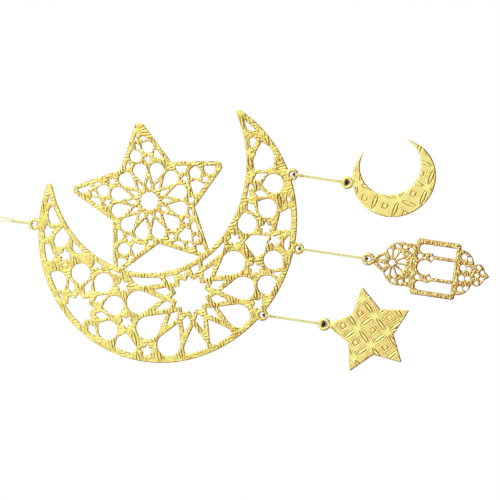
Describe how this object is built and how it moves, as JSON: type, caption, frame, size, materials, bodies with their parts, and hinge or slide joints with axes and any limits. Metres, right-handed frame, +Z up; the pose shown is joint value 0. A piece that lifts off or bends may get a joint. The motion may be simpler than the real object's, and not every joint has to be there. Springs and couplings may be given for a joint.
{
  "type": "eid crescent ornament",
  "caption": "Hanging Eid ornament: a pierced gold-toned crescent with a star in its curve, and a small crescent, a lantern and a star that swing below it on threads.",
  "frame": {"origin": "inside the top of the hanging loop, where a hook bears", "axes": "+Z up, the ornament hangs down along -Z; its embossed front faces -Y; +X to the right seen from the front"},
  "size_m": [0.1054, 0.0024, 0.2286],
  "materials": {
    "gold_sheet": "embossed polished sheet",
    "gold_thread": "metallic thread"
  },
  "bodies": {
    "hook_loop": {"hanging_loop": "gold_thread"},
    "neck": {"hanging_wrap": "gold_thread", "hanging_bight": "gold_thread"},
    "plate": {"crescent_plate": "gold_sheet"},
    "crescent_bight": {"crescent_upper_bight": "gold_thread", "crescent_knot": "gold_thread"},
    "crescent_line": {"crescent_strands": "gold_thread"},
    "crescent_pendant": {"crescent_charm": "gold_sheet", "crescent_lower_bight": "gold_thread"},
    "lantern_bight": {"lantern_upper_bight": "gold_thread", "lantern_knot": "gold_thread"},
    "lantern_line": {"lantern_strands": "gold_thread"},
    "lantern_pendant": {"lantern_charm": "gold_sheet", "lantern_lower_bight": "gold_thread"},
    "star_bight": {"star_upper_bight": "gold_thread", "star_knot": "gold_thread"},
    "star_line": {"star_strands": "gold_thread"},
    "star_pendant": {"star_charm": "gold_sheet", "star_lower_bight": "gold_thread"}
  },
  "joints": [
    {"name": "ornament_turn", "type": "hinge", "parent": "hook_loop", "child": "neck", "pos_m": [0, 0, -0.03655], "axis": [0, 0, 1], "range_deg": [-180, 180]},
    {"name": "ornament_sway", "type": "hinge", "parent": "neck", "child": "plate", "pos_m": [0, 0, -0.045], "axis": [0, 1, 0], "range_deg": [-25, 25]},
    {"name": "crescent_sway", "type": "hinge", "parent": "plate", "child": "crescent_bight", "pos_m": [0.0349, 0, -0.1441], "axis": [0, -1, 0], "range_deg": [-3, 30]},
    {"name": "crescent_swing", "type": "hinge", "parent": "crescent_bight", "child": "crescent_line", "pos_m": [0.0349, 0, -0.1484], "axis": [1, 0, 0], "range_deg": [-60, 60]},
    {"name": "crescent_turn", "type": "hinge", "parent": "crescent_line", "child": "crescent_pendant", "pos_m": [0.0349, 0, -0.16195], "axis": [0, 0, 1], "range_deg": [-120, 120]},
    {"name": "lantern_sway", "type": "hinge", "parent": "plate", "child": "lantern_bight", "pos_m": [0.0059, 0, -0.1507], "axis": [0, -1, 0], "range_deg": [-3, 3]},
    {"name": "lantern_swing", "type": "hinge", "parent": "lantern_bight", "child": "lantern_line", "pos_m": [0.0059, 0, -0.155], "axis": [1, 0, 0], "range_deg": [-60, 60]},
    {"name": "lantern_turn", "type": "hinge", "parent": "lantern_line", "child": "lantern_pendant", "pos_m": [0.0059, 0, -0.17485], "axis": [0, 0, 1], "range_deg": [-180, 180]},
    {"name": "star_sway", "type": "hinge", "parent": "plate", "child": "star_bight", "pos_m": [-0.0225, 0, -0.1405], "axis": [0, -1, 0], "range_deg": [-30, 3]},
    {"name": "star_swing", "type": "hinge", "parent": "star_bight", "child": "star_line", "pos_m": [-0.0225, 0, -0.1448], "axis": [1, 0, 0], "range_deg": [-60, 60]},
    {"name": "star_turn", "type": "hinge", "parent": "star_line", "child": "star_pendant", "pos_m": [-0.0225, 0, -0.16125], "axis": [0, 0, 1], "range_deg": [-180, 180]}
  ]
}
